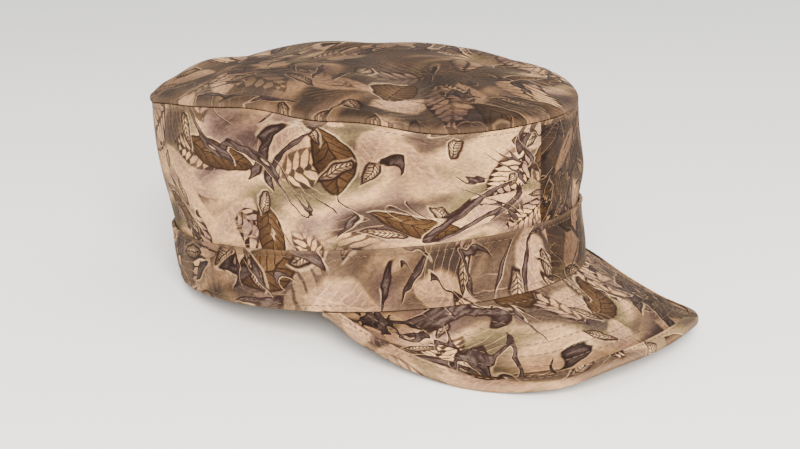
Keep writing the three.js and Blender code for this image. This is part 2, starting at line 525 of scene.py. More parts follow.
LEAF_KINDS = (
    LeafKind(37, 17, 7.5, 20, 300, 0.62, 2, 0.55, INKS.pale, INKS.pink, INKS.pink, 0.0, 0.9),
    LeafKind(40, 17.5, 7.5, -50, 140, 0.5, 5, 1.0, INKS.leaf_rim, INKS.leaf, INKS.leaf_heart, 0.4, 0.1),
    LeafKind(19, 8.5, 3.0, 10, 360, 0.34, 9, 1.0, INKS.stroke, INKS.sand, INKS.highlight, 0.3, 0.05),
)

FERN_KINDS = (
    FernKind(47, 25, 10.5, 30, 120, 0.6, 3, 1.0, 5.2, 0.75),
    FernKind(36, 17, 7.0, 150, 200, 0.5, 7, 0.85, 3.8, 0.7),
)


@dataclass(frozen=True)
class PrintedCotton:
    """Cotton twill printed with a camouflage of ferns, dry leaves and twigs over a soft ground.

    It is woven of fine yarn, so it is matt with a little fuzz at grazing angles, and its print is soft in the
    ground and crisp in the leaves. Each panel is cut from another place of the cloth. Each size is that of a
    feature along and across its grain, in millimetres, and each warp is the size and the drift of the pushes
    that make the print uneven. Its gloom darkens the ground and the wide zones; on the top panel that
    darkening is partly painted shade, for the dimmer light that falls on the top's upward face.
    """

    name: str
    cut: tuple[float, float]
    turn: float = 0.0
    print_and_shade_gloom: float = 0.0
    thicket: float = 0.0
    weave_pitch: float = 0.9
    loose_warp: tuple[float, float] = (52, 24)
    ragged_warp: tuple[float, float] = (5, 1.6)
    dusk_size: tuple[float, float] = (95, 55)
    ground_size: tuple[float, float] = (38, 26)
    shade_size: tuple[float, float] = (78, 20)
    focus_size: tuple[float, float] = (60, 45)
    tone_size: tuple[float, float] = (30, 22)
    clump_size: tuple[float, float] = (42, 30)
    bark_size: tuple[float, float] = (10, 1.7)
    yarn_size: tuple[float, float] = (2.4, 1.5)
    yarn_shade: str = "AA9E94"
    fold_fading: float = 0.45

    def build(self) -> bpy.types.Material:
        """Returns the finished material."""
        material = blank_material(self.name)
        tree = material.node_tree
        cloth = add_node(tree, "ShaderNodeUVMap", {"uv_map": CLOTH_UV}, {})
        flat = add_node(tree, "ShaderNodeMapping", {}, {
            "Vector": cloth, "Location": (*self.cut, 0), "Rotation": (0, 0, math.radians(self.turn)),
            "Scale": (1 / MM, 1 / MM, 1),
        })
        plain = add_node(tree, "ShaderNodeMapping", {}, {"Vector": cloth, "Scale": (1 / MM, 1 / MM, 1)})
        shader = add_node(tree, "ShaderNodeBsdfPrincipled", {}, {
            "Base Color": self.worn(tree, self.dusk(tree, self.camouflage(tree, flat), plain), plain),
            "Normal": weave_bump(tree, plain, self.weave_pitch),
            "Roughness": 0.9,
            "Specular IOR Level": 0.1,
            "Sheen Weight": 0.04,
            "Sheen Roughness": 0.5,
            "Sheen Tint": "C8B49C",
        })
        add_node(tree, "ShaderNodeOutputMaterial", {}, {"Surface": shader})
        return material

    def camouflage(self, tree: bpy.types.NodeTree, place: bpy.types.Node) -> bpy.types.Node:
        """Paints the print from its soft ground to its crisp twigs.

        Args:
            tree: the material's node tree.
            place: place on the cloth, in millimetres.

        Returns:
            The node of the print's colour.
        """
        loose = warped_place(tree, place, *self.loose_warp)
        ragged = warped_place(tree, loose, *self.ragged_warp)
        colour = self.ground(tree, loose)
        colour = self.leaf(tree, colour, ragged, LEAF_KINDS[0])
        for kind in FERN_KINDS:
            colour = self.fern(tree, colour, ragged, kind)
        for kind in LEAF_KINDS[1:]:
            colour = self.leaf(tree, colour, ragged, kind)
        for family in TWIG_FAMILIES:
            colour = self.twigs(tree, colour, ragged, family)
        return colour

    def dusk(self, tree: bpy.types.NodeTree, colour: bpy.types.Node,
             cloth: bpy.types.Node) -> bpy.types.Node:
        """Darkens the print in wide soft zones, spread further by the gloom, which on the top panel is partly
        painted shade.

        Args:
            tree: the material's node tree.
            colour: the print's colour.
            cloth: place on the panel, in millimetres.

        Returns:
            The node of the darkened colour.
        """
        veil = add_node(tree, RANGE, SMOOTH, {
            "Value": sized_noise(tree, cloth, self.dusk_size, 30, self.cut[0] / 100, 1),
            "From Min": 0.5 - self.print_and_shade_gloom, "From Max": 0.74 - self.print_and_shade_gloom, "To Max": 0.8,
        })
        return add_node(tree, MIX, MULTIPLIED, {0: veil, 6: colour, 7: INKS.veil})

    def ground(self, tree: bpy.types.NodeTree, place: bpy.types.Node) -> bpy.types.Node:
        """Returns the soft ground: tan, sand, pink and olive, with long shadows out of focus."""
        ground = add_node(tree, "ShaderNodeValToRGB", {}, {
            "Fac": sized_noise(tree, place, self.ground_size, 20, 1, 1),
        })
        ramp_colours(ground, (
            (0.26, INKS.grey_brown), (0.37, INKS.olive), (0.45, INKS.sand), (0.52, INKS.pale),
            (0.60, INKS.sand), (0.67, INKS.pink), (0.75, INKS.grey_brown),
        ), "B_SPLINE")
        # The gloom widens the printed shadows of the ground; on the top panel that is partly painted shade
        shade = add_node(tree, RANGE, SMOOTH, {
            "Value": sized_noise(tree, place, self.shade_size, 24, 2, 1.5),
            "From Min": 0.46 - self.print_and_shade_gloom, "From Max": 0.66 - self.print_and_shade_gloom, "To Max": 0.9,
        })
        return add_node(tree, MIX, COLOUR, {0: shade, 6: ground, 7: INKS.shadow})

    def scattered(self, tree: bpy.types.NodeTree, place: bpy.types.Node,
                  kind: Scatter) -> MotifPlace:
        """Scatters motifs over the cloth and measures from the nearest one, each turned its own way.

        Args:
            tree: the material's node tree.
            place: place on the cloth, in millimetres.
            kind: spacing, size and turn of the motifs.

        Returns:
            The place in the nearest motif.
        """
        moved = add_node(tree, "ShaderNodeMapping", {}, {
            "Vector": place, "Location": (kind.seed * 137.0, kind.seed * 291.0, 0),
        })
        cell = {"Vector": moved, "Scale": 1 / kind.spacing, "Randomness": 0.65}
        cells = add_node(tree, "ShaderNodeTexVoronoi", {"voronoi_dimensions": "2D"}, cell)
        border = add_node(tree, "ShaderNodeTexVoronoi", {
            "voronoi_dimensions": "2D", "feature": "DISTANCE_TO_EDGE",
        }, cell)
        apart = add_node(tree, "ShaderNodeVectorMath", {"operation": "SUBTRACT"}, {
            0: moved, 1: cells.outputs["Position"],
        })
        luck = add_node(tree, "ShaderNodeSeparateColor", {}, {0: cells.outputs["Color"]})
        angle = add_node(tree, MATH, {"operation": "MULTIPLY_ADD"}, {
            0: luck.outputs[0], 1: math.radians(kind.swing), 2: math.radians(kind.turn),
        })
        turned = add_node(tree, "ShaderNodeVectorRotate", {"rotation_type": "Z_AXIS"}, {
            "Vector": apart, "Angle": angle,
        })
        flat = add_node(tree, "ShaderNodeSeparateXYZ", {}, {0: turned})
        side = add_node(tree, MATH, {"operation": "ABSOLUTE"}, {0: flat.outputs[1]})
        square = add_node(tree, MATH, {"operation": "MULTIPLY"}, {0: flat.outputs[0], 1: flat.outputs[0]})
        half = add_node(tree, MATH, {"operation": "MULTIPLY_ADD"}, {
            0: square, 1: -kind.width / kind.length**2, 2: kind.width,
        })
        within = add_node(tree, MATH, {"operation": "SUBTRACT"}, {0: half, 1: side})
        room = add_node(tree, MATH, {"operation": "MULTIPLY_ADD"}, {
            0: border.outputs["Distance"], 1: kind.spacing, 2: -1.2,
        })
        depth = add_node(tree, MATH, {"operation": "MINIMUM"}, {0: within, 1: room})
        printed = add_node(tree, RANGE, SMOOTH, {
            "Value": luck.outputs[1], "From Min": 1 - kind.share - self.thicket,
            "From Max": 1.02 - kind.share - self.thicket, "To Max": kind.strength,
        })
        return MotifPlace(flat.outputs[0], flat.outputs[1], side, depth, printed)

    def leaf(self, tree: bpy.types.NodeTree, colour: bpy.types.Node, place: bpy.types.Node,
             kind: LeafKind) -> bpy.types.Node:
        """Prints one kind of leaf: a pale line along one side, a rim, a fill with a lighter heart, and veins.

        Args:
            tree: the material's node tree.
            colour: the colour under the leaves.
            place: place on the cloth, in millimetres.
            kind: sizes and inks of the leaves.

        Returns:
            The node of the new colour.
        """
        spot = self.scattered(tree, place, kind)
        lit = add_node(tree, RANGE, SMOOTH, {
            "Value": spot.across, "From Min": -0.5, "From Max": 0.5, "To Max": kind.outline,
        })
        shaded = add_node(tree, RANGE, SMOOTH, {
            "Value": spot.across, "From Min": 0.4, "From Max": -0.8, "To Max": 0.4,
        })
        inner = add_node(tree, RANGE, SMOOTH, {
            "Value": spot.depth, "From Min": 0.5 - kind.blur, "From Max": 1.2 + kind.blur,
        })
        rib = add_node(tree, MATH, {"operation": "MULTIPLY_ADD"}, {0: spot.side, 1: -0.9, 2: spot.along})
        veins = add_node(tree, MATH, {"operation": "PINGPONG"}, {0: rib, 1: kind.width / 3.6})
        lines = add_node(tree, MATH, {"operation": "MINIMUM"}, {0: veins, 1: spot.side})
        for ink, value, low, high, shares in (
            (INKS.highlight, spot.depth, -1.4 - kind.blur, -0.7 + kind.blur, (spot.printed, lit)),
            (kind.rim, spot.depth, -0.6 - kind.blur, 0.1 + kind.blur, (spot.printed,)),
            (kind.fill, inner, 0, 1, (spot.printed,)),
            (kind.heart, spot.depth, 1.2, kind.width, (spot.printed,)),
            (kind.rim, inner, 0, 1, (spot.printed, shaded)),
            (kind.rim, lines, 0.55, 0.1, (spot.printed, inner)),
        ):
            colour = printed_layer(tree, colour, ink, value, (low, high), shares)
        return colour

    def fern(self, tree: bpy.types.NodeTree, colour: bpy.types.Node, place: bpy.types.Node,
             kind: FernKind) -> bpy.types.Node:
        """Prints one kind of fern: pale leaflets that lean along a stem, over a dark frond.

        Args:
            tree: the material's node tree.
            colour: the colour under the ferns.
            place: place on the cloth, in millimetres.
            kind: sizes of the ferns.

        Returns:
            The node of the new colour.
        """
        spot = self.scattered(tree, place, kind)
        focus = add_node(tree, RANGE, SMOOTH, {
            "Value": sized_noise(tree, place, self.focus_size, 0, kind.seed + 0.3, 1),
            "From Min": 0.36, "From Max": 0.5, "To Min": 0.25,
        })
        tone = add_node(tree, RANGE, SMOOTH, {
            "Value": sized_noise(tree, place, self.tone_size, 0, kind.seed + 0.6, 1),
            "From Min": 0.35, "From Max": 0.65,
        })
        ink = add_node(tree, MIX, COLOUR, {0: tone, 6: INKS.pink, 7: INKS.pale})
        lean = add_node(tree, MATH, {"operation": "MULTIPLY_ADD"}, {
            0: spot.side, 1: -kind.slant, 2: spot.along,
        })
        beside = add_node(tree, MATH, {"operation": "PINGPONG"}, {0: lean, 1: kind.pitch / 2})
        tip = add_node(tree, RANGE, SMOOTH, {
            "Value": spot.depth, "From Min": -0.4, "From Max": 2.6, "To Max": 0.37 * kind.pitch,
        })
        stem = add_node(tree, RANGE, SMOOTH, {"Value": spot.side, "From Min": 0.2, "From Max": 1.4})
        room = add_node(tree, MATH, {"operation": "MULTIPLY"}, {0: tip, 1: stem})
        leaflet = add_node(tree, MATH, {"operation": "SUBTRACT"}, {0: room, 1: beside})
        shares = (spot.printed, focus)
        colour = printed_layer(tree, colour, INKS.stroke, spot.depth, (-1.2, -0.2), shares)
        return printed_layer(tree, colour, ink, leaflet, (-0.35, 0.3), shares)

    def twigs(self, tree: bpy.types.NodeTree, colour: bpy.types.Node, place: bpy.types.Node,
              family: TwigFamily) -> bpy.types.Node:
        """Prints one family of twigs: tapered lines, dark at their edges, with a pale line along one side.

        Args:
            tree: the material's node tree.
            colour: the colour under the twigs.
            place: place on the cloth, in millimetres.
            family: sizes and turn of the twigs.

        Returns:
            The node of the new colour.
        """
        field = sized_noise(tree, place, family.size, family.turn, family.seed, 1.2, 0.4)
        offset = add_node(tree, MATH, {"operation": "SUBTRACT"}, {0: field, 1: 0.5})
        level = add_node(tree, MATH, {"operation": "ABSOLUTE"}, {0: offset})
        width = add_node(tree, RANGE, SMOOTH, {
            "Value": sized_noise(tree, place, self.clump_size, family.turn, family.seed + 0.5, 1),
            "From Min": 0.52 - self.thicket, "From Max": 0.68 - self.thicket, "To Max": family.width,
        })
        inside = add_node(tree, MATH, {"operation": "SUBTRACT"}, {0: width, 1: level})
        there = add_node(tree, RANGE, SMOOTH, {"Value": width, "From Min": 0.002, "From Max": 0.01})
        lit = add_node(tree, RANGE, SMOOTH, {
            "Value": field, "From Min": 0.49, "From Max": 0.5, "To Max": 0.4,
        })
        grain = add_node(tree, RANGE, SMOOTH, {
            "Value": sized_noise(tree, place, self.bark_size, family.turn, family.seed + 0.8, 3, 0.65),
            "From Min": 0.36, "From Max": 0.68,
        })
        bark = add_node(tree, MIX, COLOUR, {0: grain, 6: INKS.twig, 7: INKS.bark})
        colour = printed_layer(tree, colour, INKS.highlight, inside, (-0.018, -0.006), (there, lit))
        colour = printed_layer(tree, colour, INKS.stroke, inside, (-0.005, 0.004), (there,))
        return printed_layer(tree, colour, bark, inside, (0.008, 0.026), (there,))

    def worn(self, tree: bpy.types.NodeTree, colour: bpy.types.Node,
             place: bpy.types.Node) -> bpy.types.Node:
        """Adds the grain of the yarn and the fading along folded edges.

        Args:
            tree: the material's node tree.
            colour: the print's colour.
            place: place on the cloth, in millimetres.

        Returns:
            The node of the worn colour.
        """
        grain = add_node(tree, RANGE, SMOOTH, {
            "Value": sized_noise(tree, place, self.yarn_size, 20, 8, 3, 0.75),
            "From Min": 0.36, "From Max": 0.66, "To Max": 0.55,
        })
        grained = add_node(tree, MIX, MULTIPLIED, {0: grain, 6: colour, 7: self.yarn_shade})
        fade = add_node(tree, "ShaderNodeAttribute", {"attribute_name": FADE}, {})
        share = add_node(tree, MATH, {"operation": "MULTIPLY"}, {
            0: fade.outputs["Fac"], 1: self.fold_fading,
        })
        return add_node(tree, MIX, COLOUR, {0: share, 6: grained, 7: INKS.sand})


def printed_layer(tree: bpy.types.NodeTree, colour: bpy.types.Node, ink: bpy.types.Node | str,
                  value: bpy.types.Node, limits: tuple[float, float],
                  shares: Sequence[bpy.types.Node]) -> bpy.types.Node:
    """Prints an ink over a colour where a value rises through its limits.

    Args:
        tree: the material's node tree.
        colour: the colour under the ink.
        ink: the ink, as an sRGB hex colour or a node.
        value: the value that says where the ink lies.
        limits: where the ink starts to show, and where it is full.
        shares: shares from 0 to 1 that thin the ink.

    Returns:
        The node of the new colour.
    """
    cover = add_node(tree, RANGE, SMOOTH, {"Value": value, "From Min": limits[0], "From Max": limits[1]})
    for share in shares:
        cover = add_node(tree, MATH, {"operation": "MULTIPLY"}, {0: cover, 1: share})
    return add_node(tree, MIX, COLOUR, {0: cover, 6: colour, 7: ink})


def sized_noise(tree: bpy.types.NodeTree, place: bpy.types.Node, size: tuple[float, float], turn: float,
                seed: float, detail: float, roughness: float = 0.5) -> bpy.types.Node:
    """Adds a noise whose features have a real size.

    Args:
        tree: the material's node tree.
        place: place on the cloth, in millimetres.
        size: size of a feature along and across its grain, in millimetres.
        turn: turn of the grain on the cloth, in degrees.
        seed: picks another part of the noise.
        detail: how many finer layers it has.
        roughness: how strong the finer layers are.

    Returns:
        The noise.
    """
    mapped = add_node(tree, "ShaderNodeMapping", {"vector_type": "TEXTURE"}, {
        "Vector": place, "Location": (seed * 137.0, seed * 291.0, 0),
        "Rotation": (0, 0, math.radians(turn)), "Scale": (*size, 1),
    })
    return add_node(tree, "ShaderNodeTexNoise", {"noise_dimensions": "2D"}, {
        "Vector": mapped, "Scale": 1.0, "Detail": detail, "Roughness": roughness,
    })


def warped_place(tree: bpy.types.NodeTree, place: bpy.types.Node, size: float,
                 drift: float) -> bpy.types.Node:
    """Returns places on the cloth pushed about by a noise of a size, by up to about a third of the drift."""
    pushes = add_node(tree, "ShaderNodeTexNoise", {"noise_dimensions": "2D"}, {
        "Vector": place, "Scale": 1 / size, "Detail": 0.0,
    })
    centred = add_node(tree, "ShaderNodeVectorMath", {"operation": "SUBTRACT"}, {
        0: pushes.outputs["Color"], 1: (0.5, 0.5, 0.5),
    })
    return add_node(tree, "ShaderNodeVectorMath", {"operation": "MULTIPLY_ADD"}, {
        0: centred, 1: (drift, drift, 0), 2: place,
    })


def weave_bump(tree: bpy.types.NodeTree, place: bpy.types.Node, pitch: float) -> bpy.types.Node:
    """Adds the twill's diagonal ribs and the soft unevenness of the cloth.

    The real ribs are about 0.5 mm apart, and they are drawn coarser so that they show.

    Args:
        tree: the material's node tree.
        place: place on the cloth, in millimetres.
        pitch: distance from rib to rib, in millimetres.

    Returns:
        The bumped normal.
    """
    ribs = add_node(tree, "ShaderNodeTexWave", {"wave_type": "BANDS", "bands_direction": "DIAGONAL"}, {
        "Vector": place, "Scale": math.tau / 20 / pitch, "Distortion": 0.6, "Detail": 1.0,
    })
    rough = add_node(tree, MATH, {"operation": "ADD"}, {
        0: ribs.outputs["Fac"], 1: sized_noise(tree, place, (0.7, 0.45), 35, 9, 1),
    })
    weave = add_node(tree, "ShaderNodeBump", {}, {"Height": rough, "Strength": 0.5, "Distance": 0.12 * MM})
    return add_node(tree, "ShaderNodeBump", {}, {
        "Height": sized_noise(tree, place, (13, 9), 15, 10, 3, 0.55), "Strength": 0.6, "Distance": 0.9 * MM,
        "Normal": weave,
    })


@dataclass(frozen=True)
class PlainCloth:
    """Reverse of the printed cotton: the same twill without print, a little paler and duller."""

    name: str = "reverse_of_cotton_twill"
    colour: str = "B39E86"
    print_through: str = "7D6A5A"
    print_size: tuple[float, float] = (46, 24)
    weave_pitch: float = 0.9

    def build(self) -> bpy.types.Material:
        """Returns the finished material."""
        material = blank_material(self.name)
        tree = material.node_tree
        cloth = add_node(tree, "ShaderNodeUVMap", {"uv_map": CLOTH_UV}, {})
        flat = add_node(tree, "ShaderNodeMapping", {}, {"Vector": cloth, "Scale": (1 / MM, 1 / MM, 1)})
        seen_through = add_node(tree, RANGE, SMOOTH, {
            "Value": sized_noise(tree, flat, self.print_size, 30, 3, 2),
            "From Min": 0.5, "From Max": 0.62, "To Max": 0.3,
        })
        shader = add_node(tree, "ShaderNodeBsdfPrincipled", {}, {
            "Base Color": add_node(tree, MIX, COLOUR, {
                0: seen_through, 6: self.colour, 7: self.print_through,
            }),
            "Normal": weave_bump(tree, flat, self.weave_pitch),
            "Roughness": 0.92,
            "Specular IOR Level": 0.25,
        })
        add_node(tree, "ShaderNodeOutputMaterial", {}, {"Surface": shader})
        return material


@dataclass(frozen=True)
class SewingThread:
    """Spun polyester sewing thread: fine, slightly glossy, in a brown that sinks into the print."""

    name: str = "spun_polyester_thread"
    colour: str = "5C4A38"
    shade: str = "44362A"
    twists_per_metre: float = 2200.0

    def build(self) -> bpy.types.Material:
        """Returns the finished material."""
        material = blank_material(self.name)
        tree = material.node_tree
        where = add_node(tree, "ShaderNodeTexCoord", {}, {})
        twist = add_node(tree, "ShaderNodeTexNoise", {}, {
            "Vector": where.outputs["Object"], "Scale": self.twists_per_metre, "Detail": 1.0,
        })
        ramp = add_node(tree, "ShaderNodeValToRGB", {}, {"Fac": twist.outputs["Fac"]})
        ramp_colours(ramp, ((0.35, self.shade), (0.65, self.colour)), "LINEAR")
        shader = add_node(tree, "ShaderNodeBsdfPrincipled", {}, {
            "Base Color": ramp, "Roughness": 0.75, "Specular IOR Level": 0.2,
        })
        add_node(tree, "ShaderNodeOutputMaterial", {}, {"Surface": shader})
        return material


@dataclass
class ClothBody:
    """A layer of cloth as a closed body: an outer face, an inner face and edges between them.

    Its edges are rounded where they show, and its place and its flat pattern are given by two shares.
    """

    name: str
    columns: int
    rows: int
    outer: Place
    inner: Place
    flat: Callable[[float, float], tuple[float, float]]
    fade: Callable[[float, float], float]
    edge_radius: float = 0.5

    def build(self, materials: Sequence[bpy.types.Material]) -> bpy.types.Object:
        """Builds the body.

        Args:
            materials: the finish of the outer face and that of the inner face.

        Returns:
            The new object, with its place in its mesh.
        """
        bm = bmesh.new()
        uv = bm.loops.layers.uv.new(CLOTH_UV)
        along = bm.verts.layers.float.new("along")
        across = bm.verts.layers.float.new("across")
        worn = bm.verts.layers.float.new(FADE)
        for index, place in enumerate((self.outer, self.inner)):
            made = bmesh.ops.create_grid(bm, x_segments=self.columns, y_segments=self.rows, size=0.5)
            faces = {face for vert in made["verts"] for face in vert.link_faces}
            for vert in made["verts"]:
                vert[along] = vert.co.x + 0.5
                vert[across] = vert.co.y + 0.5
                vert[worn] = self.fade(vert[along], vert[across])
                vert.co = FORM.rest(place(vert[along], vert[across]))
            for face in faces:
                face.material_index = index
        rims = [edge for edge in bm.edges if edge.is_boundary]
        bridged = bmesh.ops.bridge_loops(bm, edges=rims)
        for face in bridged["faces"]:
            face.material_index = 0
        for face in bm.faces:
            for loop in face.loops:
                u, v = self.flat(loop.vert[along], loop.vert[across])
                loop[uv].uv = (u * MM, v * MM)
        bmesh.ops.recalc_face_normals(bm, faces=bm.faces[:])
        if self.edge_radius > 0:
            bmesh.ops.bevel(
                bm, geom=rims, offset=self.edge_radius * MM, segments=3, profile=0.5, affect="EDGES",
                material=-1, clamp_overlap=True,
            )
        return finished_object(self.name, bm, materials)


def finished_object(name: str, bm: bmesh.types.BMesh,
                    materials: Sequence[bpy.types.Material]) -> bpy.types.Object:
    """Turns a bmesh into a smooth object at the origin.

    Args:
        name: the object's name.
        bm: the mesh, which is freed.
        materials: the finishes, in the order of the faces' material numbers.

    Returns:
        The new object.
    """
    for face in bm.faces:
        face.smooth = True
    mesh = bpy.data.meshes.new(name)
    bm.to_mesh(mesh)
    bm.free()
    for material in materials:
        mesh.materials.append(material)
    made = bpy.data.objects.new(name, mesh)
    bpy.context.scene.collection.objects.link(made)
    return made


def keep(piece: bpy.types.Object, node: Optional[str] = None) -> bpy.types.Object:
    """Lets a piece ride with the cap, and stand for a node where it has one."""
    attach(piece, BODY)
    if node is not None:
        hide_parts(node)
    LOG.info("%s: %d faces", piece.name, len(piece.data.polygons))
    return piece


@dataclass
class Stitching:
    """Rows of single stitches on a surface, as one piece of many small threads."""

    name: str
    pitch: float = 3.0
    share: float = 0.78
    thread: float = 0.42
    proud: float = 0.3
    track_steps: int = 160

    def __post_init__(self) -> None:
        """Starts an empty mesh."""
        self.bm = bmesh.new()
        self.count = 0

    def sew(self, place: Place, start: tuple[float, float], end: tuple[float, float]) -> None:
        """Sews one row.

        Args:
            place: the surface, by two shares.
            start: where the row starts, as shares of the surface.
            end: where it ends.
        """
        shares = [step / self.track_steps for step in range(self.track_steps + 1)]
        track = [(lerp(start[0], end[0], share), lerp(start[1], end[1], share)) for share in shares]
        self.sew_track(place, track)

    def sew_track(self, place: Place, track: Sequence[tuple[float, float]]) -> None:
        """Sews one row along a track of shares on a surface.

        Args:
            place: the surface, by two shares.
            track: the row's way over the surface.
        """
        points = [FORM.rest(place(*shares)) for shares in track]
        lengths = [0.0]
        for low, high in zip(points, points[1:]):
            lengths.append(lengths[-1] + (high - low).length)
        number = int(lengths[-1] / (self.pitch * MM))
        index = 0
        for stitch in range(number):
            middle = (stitch + 0.5) * lengths[-1] / number
            while index < len(lengths) - 2 and lengths[index + 1] < middle:
                index += 1
            share = (middle - lengths[index]) / max(1e-9, lengths[index + 1] - lengths[index])
            centre = points[index].lerp(points[index + 1], share)
            axis = (points[index + 1] - points[index]).normalized()
            u = lerp(track[index][0], track[index + 1][0], share)
            v = lerp(track[index][1], track[index + 1][1], share)
            self.stitch(centre, axis, self.normal(place, u, v))

    def normal(self, place: Place, u: float, v: float) -> Vector:
        """Returns the surface's normal at two shares."""
        step = 1e-3
        here = FORM.rest(place(u, v))
        du = FORM.rest(place(u + step, v)) - here
        dv = FORM.rest(place(u, v + step)) - here
        return du.cross(dv).normalized()

    def stitch(self, centre: Vector, axis: Vector, normal: Vector) -> None:
        """Adds one stitch, a slim drop of thread half sunk in the cloth."""
        side = axis.cross(normal).normalized()
        half = self.pitch * self.share / 2 * MM
        radius = self.thread / 2 * MM
        turned = Matrix((side * radius, normal * radius, axis * half)).transposed().to_4x4()
        turned.translation = centre + normal * radius * self.proud
        bmesh.ops.create_uvsphere(self.bm, u_segments=6, v_segments=4, radius=1.0, matrix=turned)
        self.count += 1

    def build(self, material: bpy.types.Material) -> bpy.types.Object:
        """Returns the finished piece."""
        bmesh.ops.recalc_face_normals(self.bm, faces=self.bm.faces[:])
        LOG.info("%s: %d stitches", self.name, self.count)
        return finished_object(self.name, self.bm, [material])


@dataclass
class Crown:
    """The crown: an oval top panel and two side walls, sewn at the top, front and back seams."""

    wall_cloth: float = 1.4
    top_cloth: float = 1.4
    band_cloth: float = 1.6
    seam_ridge: float = 0.5
    hem_rise: float = 1.0
    pucker_depth: float = 0.32
    pucker_length: float = 9.0
    pucker_reach: float = 5.0
    wall_columns: int = 240
    band_rows: int = 8
    wall_rows: int = 34
    top_steps: int = 300
    top_rings: int = 56
    stitch_drop: float = 2.2
    stitch_margin: float = 0.005
    stitch_groove: float = 0.25
    groove_width: float = 1.1
    ripple: float = 0.8
    ripple_length: float = 24.0
    top_ripple: float = 0.5
    top_ripple_size: tuple[float, float] = (21.0, 26.0)
    rolled_rise: float = 0.9
    rolled_inset: float = 4.5
    rolled_width: float = 4.0
    top_edge_radius: float = 0.6

    def wall_inset(self, level: float) -> float:
        """Returns how far the wall stands inside the band's face or the top seam's ridge."""
        return lerp(self.band_cloth + FORM.air_gap, self.seam_ridge, smooth_step(level, 1, 2))

    def pucker(self, angle: float, distance: float, seed: float) -> float:
        """Returns the height of the small gathers at a distance from a seam."""
        arc = angle * FORM.mean_radius
        wave = soft_wave(arc, self.pucker_length, seed)
        return self.pucker_depth * wave * math.exp(-distance / self.pucker_reach)

    def wall_surface(self, side: Side, through: float) -> Place:
        """Returns one face of a wall, by shares along it and up it."""
        rows = self.band_rows + self.wall_rows

        def place(along: float, across: float) -> Vector:
            row = across * rows
            if row <= self.band_rows:
                level = row / self.band_rows
            else:
                level = 1 + (row - self.band_rows) / self.wall_rows
            from_front = math.pi * (1 - along if side is Side.RIGHT else along)
            angle = side.value * from_front
            below_seam = (2 - level) * (FORM.crown_height - FORM.band_height)
            arc = angle * FORM.mean_radius
            ends = min(from_front, math.pi - from_front) * FORM.mean_radius
            inset = self.wall_inset(level) + self.wall_cloth * (1 - through)
            inset -= self.pucker(angle, max(0.0, below_seam), 3.1)
            inset += SEAM_PULL * math.exp(-ends / SEAM_PULL_REACH) * smooth_step(level, 1.0, 1.1)
            inset += self.stitch_groove * hill(below_seam - self.stitch_drop, self.groove_width)
            ripple = noise.noise(Vector((arc / self.ripple_length, level * 1.7, 5.2)))
            inset -= self.ripple * ripple * smooth_step(level, 1.0, 1.4)
            point = FORM.side_point(angle, level, inset)
            point.z += lerp(self.hem_rise, 0, min(row, 1)) - FORM.air_gap * smooth_step(level, 1.9, 2)
            return point

        return place

    def wall(self, side: Side, materials: Sequence[bpy.types.Material]) -> bpy.types.Object:
        """Builds one wall of the crown."""
        name = f"wall_{side.name.lower()}"
        rows = self.band_rows + self.wall_rows
        height = FORM.crown_height + FORM.band_height * self.band_rows / self.wall_rows
        body = ClothBody(
            name=f"{name}_cloth", columns=self.wall_columns, rows=rows,
            outer=self.wall_surface(side, 1), inner=self.wall_surface(side, 0),
            flat=lambda along, across: (along * math.pi * FORM.mean_radius, across * height),
            fade=lambda along, across: 0.5 * hill((1 - across) * height, 2.0),
        )
        return keep(body.build(materials), name)

    def top_surface(self, angle: float, reach: float, through: float) -> Vector:
        """Returns a point of the top panel, from its underside to its upper face."""
        point = FORM.top_point(angle, reach)
        from_seam = (1 - reach) * FORM.band_width / 2
        point.z += self.top_cloth * through
        point.z += self.pucker(angle, from_seam, 3.1) * smooth_step(from_seam, 0, 1.5)
        width, length = self.top_ripple_size
        ripple = noise.noise(Vector((point.x / width, point.y / length, 1.3)))
        point.z += self.top_ripple * ripple * (1 - reach**8)
        point.z += self.rolled_rise * hill(from_seam - self.rolled_inset, self.rolled_width)
        return point

    def top(self, materials: Sequence[bpy.types.Material]) -> bpy.types.Object:
        """Builds the top panel as a turned disc that is then shaped."""
        bm = bmesh.new()
        uv = bm.loops.layers.uv.new(CLOTH_UV)
        worn = bm.verts.layers.float.new(FADE)
        for through in (1, 0):
            reaches = [math.sin(math.pi / 2 * ring / self.top_rings) for ring in range(self.top_rings + 1)]
            profile = [bm.verts.new((reach, 0, through)) for reach in reaches]
            edges = [bm.edges.new(pair) for pair in zip(profile, profile[1:])]
            bmesh.ops.spin(
                bm, geom=[*profile, *edges], cent=(0, 0, 0), axis=(0, 0, 1), angle=math.tau,
                steps=self.top_steps, use_merge=True,
            )
        bmesh.ops.remove_doubles(bm, verts=bm.verts[:], dist=1e-6)
        for face in bm.faces:
            face.material_index = 0 if face.calc_center_median().z > 0.5 else 1
        flats = {}
        for vert in bm.verts:
            reach = min(1.0, math.hypot(vert.co.x, vert.co.y))
            angle = math.atan2(vert.co.x, -vert.co.y)
            point = self.top_surface(angle, reach, vert.co.z)
            flats[vert] = (point.x * MM, point.y * MM)
            vert[worn] = 0.25 * hill((1 - reach) * FORM.band_width / 2, 1.6)
            vert.co = FORM.rest(point)
        rims = [edge for edge in bm.edges if edge.is_boundary]
        bmesh.ops.bridge_loops(bm, edges=rims)
        for face in bm.faces:
            for loop in face.loops:
                loop[uv].uv = flats[loop.vert]
        bmesh.ops.recalc_face_normals(bm, faces=bm.faces[:])
        bmesh.ops.bevel(
            bm, geom=rims, offset=self.top_edge_radius * MM, segments=3, profile=0.5, affect="EDGES",
            material=-1, clamp_overlap=True,
        )
        return keep(finished_object("crown_top_cloth", bm, materials), "crown_top")

